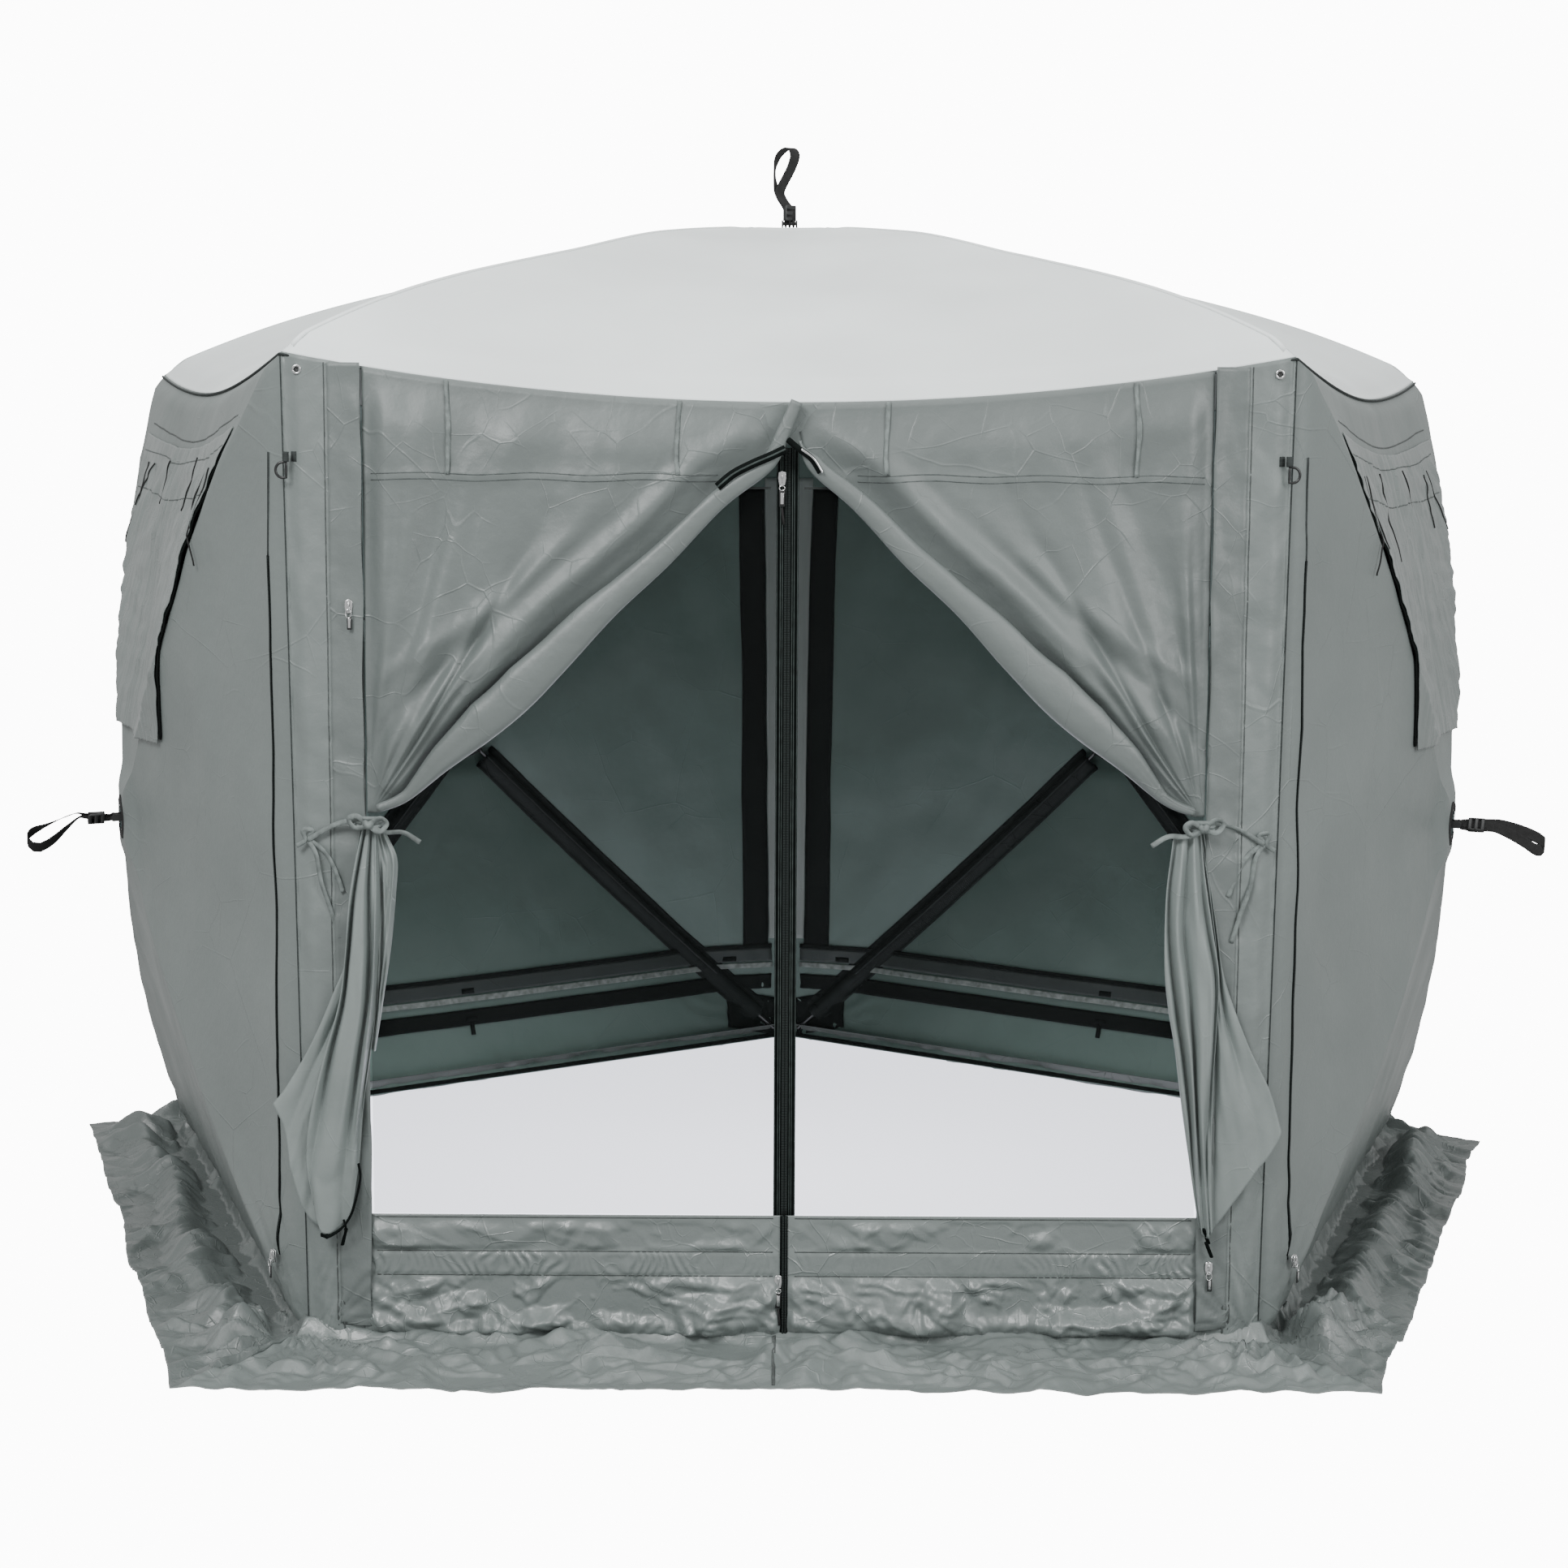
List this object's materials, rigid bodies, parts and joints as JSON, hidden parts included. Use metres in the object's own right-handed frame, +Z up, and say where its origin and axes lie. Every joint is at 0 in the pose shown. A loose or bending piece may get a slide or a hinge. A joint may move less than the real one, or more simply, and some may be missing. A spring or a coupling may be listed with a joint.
{
  "type": "pop-up screen shelter",
  "caption": "Five-sided pop-up screen shelter with spring-out hub walls and roof, zipped screen door, tied-back door flaps and ground skirts.",
  "frame": {"origin": "centre of the whole tent's box, on the ground", "axes": "+Z up, front door towards -Y, +X to the right as seen from the front"},
  "size_m": [3.6032, 3.427, 2.2927],
  "materials": {
    "roof_fabric": "coated polyester, pale grey, satin",
    "wall_fabric": "coated polyester, mid grey with a slight green cast, satin",
    "screen_mesh": "fine black insect mesh, see-through",
    "webbing": "black woven webbing",
    "hub_plastic": "moulded black",
    "fibreglass": "pultruded rod, dark grey",
    "zip_metal": "bright cast metal",
    "ring_metal": "black painted wire"
  },
  "bodies": {
    "root": {"left_wall": "wall_fabric", "left_skirt": "wall_fabric", "left_wind_panel": "wall_fabric", "back_left_wall": "wall_fabric", "back_left_skirt": "wall_fabric", "back_right_wall": "wall_fabric", "back_right_skirt": "wall_fabric", "right_wall": "wall_fabric", "right_skirt": "wall_fabric", "right_wind_panel": "wall_fabric", "roof_canopy": "roof_fabric", "front_wall": "wall_fabric", "front_skirt": "wall_fabric", "door_flap_left": "wall_fabric", "door_flap_right": "wall_fabric"},
    "left_hub": {"left_hub": "hub_plastic"},
    "left_pole_upper_front": {"left_pole_upper_front": "fibreglass"},
    "left_pole_upper_side": {"left_pole_upper_side": "fibreglass"},
    "left_pole_lower_side": {"left_pole_lower_side": "fibreglass"},
    "left_pole_lower_front": {"left_pole_lower_front": "fibreglass"},
    "left_pull_strap": {"left_pull_strap": "webbing"},
    "back_left_hub": {"back_left_hub": "hub_plastic"},
    "back_left_pole_upper_side": {"back_left_pole_upper_side": "fibreglass"},
    "back_left_pole_upper_back": {"back_left_pole_upper_back": "fibreglass"},
    "back_left_pole_lower_back": {"back_left_pole_lower_back": "fibreglass"},
    "back_left_pole_lower_side": {"back_left_pole_lower_side": "fibreglass"},
    "back_left_pull_strap": {"back_left_pull_strap": "webbing"},
    "back_right_hub": {"back_right_hub": "hub_plastic"},
    "back_right_pole_upper_back": {"back_right_pole_upper_back": "fibreglass"},
    "back_right_pole_upper_side": {"back_right_pole_upper_side": "fibreglass"},
    "back_right_pole_lower_side": {"back_right_pole_lower_side": "fibreglass"},
    "back_right_pole_lower_back": {"back_right_pole_lower_back": "fibreglass"},
    "back_right_pull_strap": {"back_right_pull_strap": "webbing"},
    "right_hub": {"right_hub": "hub_plastic"},
    "right_pole_upper_side": {"right_pole_upper_side": "fibreglass"},
    "right_pole_upper_front": {"right_pole_upper_front": "fibreglass"},
    "right_pole_lower_front": {"right_pole_lower_front": "fibreglass"},
    "right_pole_lower_side": {"right_pole_lower_side": "fibreglass"},
    "right_pull_strap": {"right_pull_strap": "webbing"},
    "roof_hub": {"roof_hub": "hub_plastic"},
    "roof_pole_back": {"roof_pole_back": "fibreglass"},
    "roof_pole_side_left": {"roof_pole_side_left": "fibreglass"},
    "roof_pole_front_left": {"roof_pole_front_left": "fibreglass"},
    "roof_pole_front_right": {"roof_pole_front_right": "fibreglass"},
    "roof_pole_side_right": {"roof_pole_side_right": "fibreglass"},
    "roof_pull_strap": {"roof_pull_strap": "webbing"},
    "door_left": {"screen_left": "screen_mesh", "sill_left": "wall_fabric"},
    "guy_ring_left": {"guy_ring_left": "ring_metal"},
    "flap_zip_slider_left": {"flap_zip_slider_left": "zip_metal"},
    "door_right": {"screen_right": "screen_mesh", "sill_right": "wall_fabric"},
    "guy_ring_right": {"guy_ring_right": "ring_metal"},
    "flap_zip_slider_right": {"flap_zip_slider_right": "zip_metal"},
    "door_zip_slider_top": {"door_zip_slider_top": "zip_metal"},
    "door_zip_pull_top": {"door_zip_pull_top": "zip_metal"},
    "door_zip_slider_bottom": {"door_zip_slider_bottom": "zip_metal"},
    "door_zip_pull_bottom": {"door_zip_pull_bottom": "zip_metal"},
    "left_wall_zip_slider": {"left_wall_zip_slider": "ring_metal"},
    "right_wall_zip_slider": {"right_wall_zip_slider": "ring_metal"}
  },
  "joints": [
    {"name": "left_hub_push", "type": "slide", "parent": "root", "child": "left_hub", "axis": [-0.9509, -0.309, -0.0168], "range_m": [-0.4055, 0], "deforming": ["left_wall", "left_wind_panel"]},
    {"name": "left_pole_upper_front_fold", "type": "hinge", "parent": "left_hub", "child": "left_pole_upper_front", "pos_m": [-1.35411, -0.65105, 0.90653], "axis": [-0.2315, 0.6744, 0.7011], "range_deg": [-18.6, 0]},
    {"name": "left_pole_upper_side_fold", "type": "hinge", "parent": "left_hub", "child": "left_pole_upper_side", "pos_m": [-1.37231, -0.59503, 0.90653], "axis": [-0.2091, 0.6817, -0.7011], "range_deg": [-18.6, 0]},
    {"name": "left_pole_lower_side_fold", "type": "hinge", "parent": "left_hub", "child": "left_pole_lower_side", "pos_m": [-1.37145, -0.59444, 0.84694], "axis": [0.2295, -0.6677, -0.7082], "range_deg": [-19.3, 0]},
    {"name": "left_pole_lower_front_fold", "type": "hinge", "parent": "left_hub", "child": "left_pole_lower_front", "pos_m": [-1.35306, -0.65102, 0.84694], "axis": [0.2068, -0.6751, 0.7082], "range_deg": [-19.3, 0]},
    {"name": "left_pull_strap_swing", "type": "hinge", "parent": "left_hub", "child": "left_pull_strap", "pos_m": [-1.39886, -0.63462, 0.87595], "axis": [0.309, -0.9511, 0], "range_deg": [-73, 62]},
    {"name": "back_left_hub_push", "type": "slide", "parent": "root", "child": "back_left_hub", "axis": [-0.5877, 0.8089, -0.0168], "range_m": [-0.4055, 0], "deforming": ["back_left_wall"]},
    {"name": "back_left_pole_upper_side_fold", "type": "hinge", "parent": "back_left_hub", "child": "back_left_pole_upper_side", "pos_m": [-0.86633, 0.9622, 0.90653], "axis": [0.5699, 0.4286, 0.7011], "range_deg": [-18.6, 0]},
    {"name": "back_left_pole_upper_back_fold", "type": "hinge", "parent": "back_left_hub", "child": "back_left_pole_upper_back", "pos_m": [-0.81868, 0.99682, 0.90653], "axis": [0.5837, 0.4095, -0.7011], "range_deg": [-18.6, 0]},
    {"name": "back_left_pole_lower_back_fold", "type": "hinge", "parent": "back_left_hub", "child": "back_left_pole_lower_back", "pos_m": [-0.81785, 0.99618, 0.84694], "axis": [-0.5641, -0.4246, -0.7082], "range_deg": [-19.3, 0]},
    {"name": "back_left_pole_lower_side_fold", "type": "hinge", "parent": "back_left_hub", "child": "back_left_pole_lower_side", "pos_m": [-0.86599, 0.96121, 0.84694], "axis": [-0.5781, -0.4053, 0.7082], "range_deg": [-19.3, 0]},
    {"name": "back_left_pull_strap_swing", "type": "hinge", "parent": "back_left_hub", "child": "back_left_pull_strap", "pos_m": [-0.86455, 1.00984, 0.87595], "axis": [-0.809, -0.5878, 0], "range_deg": [-73, 62]},
    {"name": "back_right_hub_push", "type": "slide", "parent": "root", "child": "back_right_hub", "axis": [0.5877, 0.8089, -0.0168], "range_m": [-0.4055, 0], "deforming": ["back_right_wall"]},
    {"name": "back_right_pole_upper_back_fold", "type": "hinge", "parent": "back_right_hub", "child": "back_right_pole_upper_back", "pos_m": [0.81868, 0.99682, 0.90653], "axis": [0.5837, -0.4095, 0.7011], "range_deg": [-18.6, 0]},
    {"name": "back_right_pole_upper_side_fold", "type": "hinge", "parent": "back_right_hub", "child": "back_right_pole_upper_side", "pos_m": [0.86633, 0.9622, 0.90653], "axis": [0.5699, -0.4286, -0.7011], "range_deg": [-18.6, 0]},
    {"name": "back_right_pole_lower_side_fold", "type": "hinge", "parent": "back_right_hub", "child": "back_right_pole_lower_side", "pos_m": [0.86599, 0.96121, 0.84694], "axis": [-0.5781, 0.4053, -0.7082], "range_deg": [-19.3, 0]},
    {"name": "back_right_pole_lower_back_fold", "type": "hinge", "parent": "back_right_hub", "child": "back_right_pole_lower_back", "pos_m": [0.81785, 0.99618, 0.84694], "axis": [-0.5641, 0.4246, 0.7082], "range_deg": [-19.3, 0]},
    {"name": "back_right_pull_strap_swing", "type": "hinge", "parent": "back_right_hub", "child": "back_right_pull_strap", "pos_m": [0.86455, 1.00984, 0.87595], "axis": [-0.809, 0.5878, 0], "range_deg": [-73, 62]},
    {"name": "right_hub_push", "type": "slide", "parent": "root", "child": "right_hub", "axis": [0.9509, -0.309, -0.0168], "range_m": [-0.4055, 0], "deforming": ["right_wall", "right_wind_panel"]},
    {"name": "right_pole_upper_side_fold", "type": "hinge", "parent": "right_hub", "child": "right_pole_upper_side", "pos_m": [1.37231, -0.59503, 0.90653], "axis": [-0.2091, -0.6817, 0.7011], "range_deg": [-18.6, 0]},
    {"name": "right_pole_upper_front_fold", "type": "hinge", "parent": "right_hub", "child": "right_pole_upper_front", "pos_m": [1.35411, -0.65105, 0.90653], "axis": [-0.2315, -0.6744, -0.7011], "range_deg": [-18.6, 0]},
    {"name": "right_pole_lower_front_fold", "type": "hinge", "parent": "right_hub", "child": "right_pole_lower_front", "pos_m": [1.35306, -0.65102, 0.84694], "axis": [0.2068, 0.6751, -0.7082], "range_deg": [-19.3, 0]},
    {"name": "right_pole_lower_side_fold", "type": "hinge", "parent": "right_hub", "child": "right_pole_lower_side", "pos_m": [1.37145, -0.59444, 0.84694], "axis": [0.2295, 0.6677, 0.7082], "range_deg": [-19.3, 0]},
    {"name": "right_pull_strap_swing", "type": "hinge", "parent": "right_hub", "child": "right_pull_strap", "pos_m": [1.39886, -0.63462, 0.87595], "axis": [0.309, 0.9511, 0], "range_deg": [-73, 62]},
    {"name": "roof_hub_push", "type": "slide", "parent": "root", "child": "roof_hub", "axis": [0, 0, 1], "range_m": [-0.5734, 0], "deforming": ["roof_canopy"]},
    {"name": "roof_pole_back_fold", "type": "hinge", "parent": "roof_hub", "child": "roof_pole_back", "pos_m": [0, -0.13811, 2.08672], "axis": [-1, 0, 0], "range_deg": [-21.8, 0]},
    {"name": "roof_pole_side_left_fold", "type": "hinge", "parent": "roof_hub", "child": "roof_pole_side_left", "pos_m": [-0.03994, -0.16713, 2.08672], "axis": [-0.309, -0.9511, 0], "range_deg": [-21.8, 0]},
    {"name": "roof_pole_front_left_fold", "type": "hinge", "parent": "roof_hub", "child": "roof_pole_front_left", "pos_m": [-0.02469, -0.21408, 2.08672], "axis": [0.809, -0.5878, 0], "range_deg": [-21.8, 0]},
    {"name": "roof_pole_front_right_fold", "type": "hinge", "parent": "roof_hub", "child": "roof_pole_front_right", "pos_m": [0.02469, -0.21408, 2.08672], "axis": [0.809, 0.5878, 0], "range_deg": [-21.8, 0]},
    {"name": "roof_pole_side_right_fold", "type": "hinge", "parent": "roof_hub", "child": "roof_pole_side_right", "pos_m": [0.03994, -0.16713, 2.08672], "axis": [-0.309, 0.9511, 0], "range_deg": [-21.8, 0]},
    {"name": "roof_pull_strap_swing", "type": "hinge", "parent": "roof_hub", "child": "roof_pull_strap", "pos_m": [0, -0.1801, 2.12472], "axis": [1, 0, 0], "range_deg": [-60, 60]},
    {"name": "door_left_swing", "type": "hinge", "parent": "root", "child": "door_left", "pos_m": [-0.759, -1.42425, 0.87977], "axis": [0, -0.0168, 0.9999], "range_deg": [0, 90]},
    {"name": "guy_ring_left_swing", "type": "hinge", "parent": "root", "child": "guy_ring_left", "pos_m": [-0.897, -1.44212, 1.61467], "axis": [0, -0.0168, 0.9999], "range_deg": [-30, 150]},
    {"name": "flap_zip_slider_left_run", "type": "slide", "parent": "root", "child": "flap_zip_slider_left", "axis": [0, -0.0168, 0.9999], "range_m": [-1.22, 0.19]},
    {"name": "door_right_swing", "type": "hinge", "parent": "root", "child": "door_right", "pos_m": [0.759, -1.42425, 0.87977], "axis": [0, 0.0168, -0.9999], "range_deg": [0, 90]},
    {"name": "guy_ring_right_swing", "type": "hinge", "parent": "root", "child": "guy_ring_right", "pos_m": [0.897, -1.44212, 1.61467], "axis": [0, 0.0168, -0.9999], "range_deg": [-30, 150]},
    {"name": "flap_zip_slider_right_run", "type": "slide", "parent": "root", "child": "flap_zip_slider_right", "axis": [0, -0.0168, 0.9999], "range_m": [0, 1.41]},
    {"name": "door_zip_slider_top_run", "type": "slide", "parent": "door_left", "child": "door_zip_slider_top", "axis": [0, -0.0168, 0.9999], "range_m": [-0.75, 0]},
    {"name": "door_zip_pull_top_lift", "type": "hinge", "parent": "door_zip_slider_top", "child": "door_zip_pull_top", "pos_m": [-0.01, -1.44592, 1.5911], "axis": [-1, 0, 0], "range_deg": [0, 120]},
    {"name": "door_zip_slider_bottom_run", "type": "slide", "parent": "door_left", "child": "door_zip_slider_bottom", "axis": [0, -0.0168, 0.9999], "range_m": [0, 0.62]},
    {"name": "door_zip_pull_bottom_lift", "type": "hinge", "parent": "door_zip_slider_bottom", "child": "door_zip_pull_bottom", "pos_m": [-0.01, -1.42094, 0.1061], "axis": [-1, 0, 0], "range_deg": [0, 120]},
    {"name": "left_wall_zip_slider_run", "type": "slide", "parent": "root", "child": "left_wall_zip_slider", "axis": [0.0091, -0.0376, 0.9993], "range_m": [0, 1.276]},
    {"name": "right_wall_zip_slider_run", "type": "slide", "parent": "root", "child": "right_wall_zip_slider", "axis": [-0.0091, -0.0376, 0.9993], "range_m": [0, 1.276]}
  ],
  "couplings": [
    {"joint": "left_pole_upper_front_fold", "follows": "left_hub_push", "rad_per_m": 0.79396},
    {"joint": "left_pole_upper_side_fold", "follows": "left_hub_push", "rad_per_m": 0.79396},
    {"joint": "left_pole_lower_side_fold", "follows": "left_hub_push", "rad_per_m": 0.82236},
    {"joint": "left_pole_lower_front_fold", "follows": "left_hub_push", "rad_per_m": 0.82236},
    {"joint": "back_left_pole_upper_side_fold", "follows": "back_left_hub_push", "rad_per_m": 0.79396},
    {"joint": "back_left_pole_upper_back_fold", "follows": "back_left_hub_push", "rad_per_m": 0.79396},
    {"joint": "back_left_pole_lower_back_fold", "follows": "back_left_hub_push", "rad_per_m": 0.82236},
    {"joint": "back_left_pole_lower_side_fold", "follows": "back_left_hub_push", "rad_per_m": 0.82236},
    {"joint": "back_right_pole_upper_back_fold", "follows": "back_right_hub_push", "rad_per_m": 0.79396},
    {"joint": "back_right_pole_upper_side_fold", "follows": "back_right_hub_push", "rad_per_m": 0.79396},
    {"joint": "back_right_pole_lower_side_fold", "follows": "back_right_hub_push", "rad_per_m": 0.82236},
    {"joint": "back_right_pole_lower_back_fold", "follows": "back_right_hub_push", "rad_per_m": 0.82236},
    {"joint": "right_pole_upper_side_fold", "follows": "right_hub_push", "rad_per_m": 0.79396},
    {"joint": "right_pole_upper_front_fold", "follows": "right_hub_push", "rad_per_m": 0.79396},
    {"joint": "right_pole_lower_front_fold", "follows": "right_hub_push", "rad_per_m": 0.82236},
    {"joint": "right_pole_lower_side_fold", "follows": "right_hub_push", "rad_per_m": 0.82236},
    {"joint": "roof_pole_back_fold", "follows": "roof_hub_push", "rad_per_m": 0.65972},
    {"joint": "roof_pole_side_left_fold", "follows": "roof_hub_push", "rad_per_m": 0.65972},
    {"joint": "roof_pole_front_left_fold", "follows": "roof_hub_push", "rad_per_m": 0.65972},
    {"joint": "roof_pole_front_right_fold", "follows": "roof_hub_push", "rad_per_m": 0.65972},
    {"joint": "roof_pole_side_right_fold", "follows": "roof_hub_push", "rad_per_m": 0.65972}
  ]
}
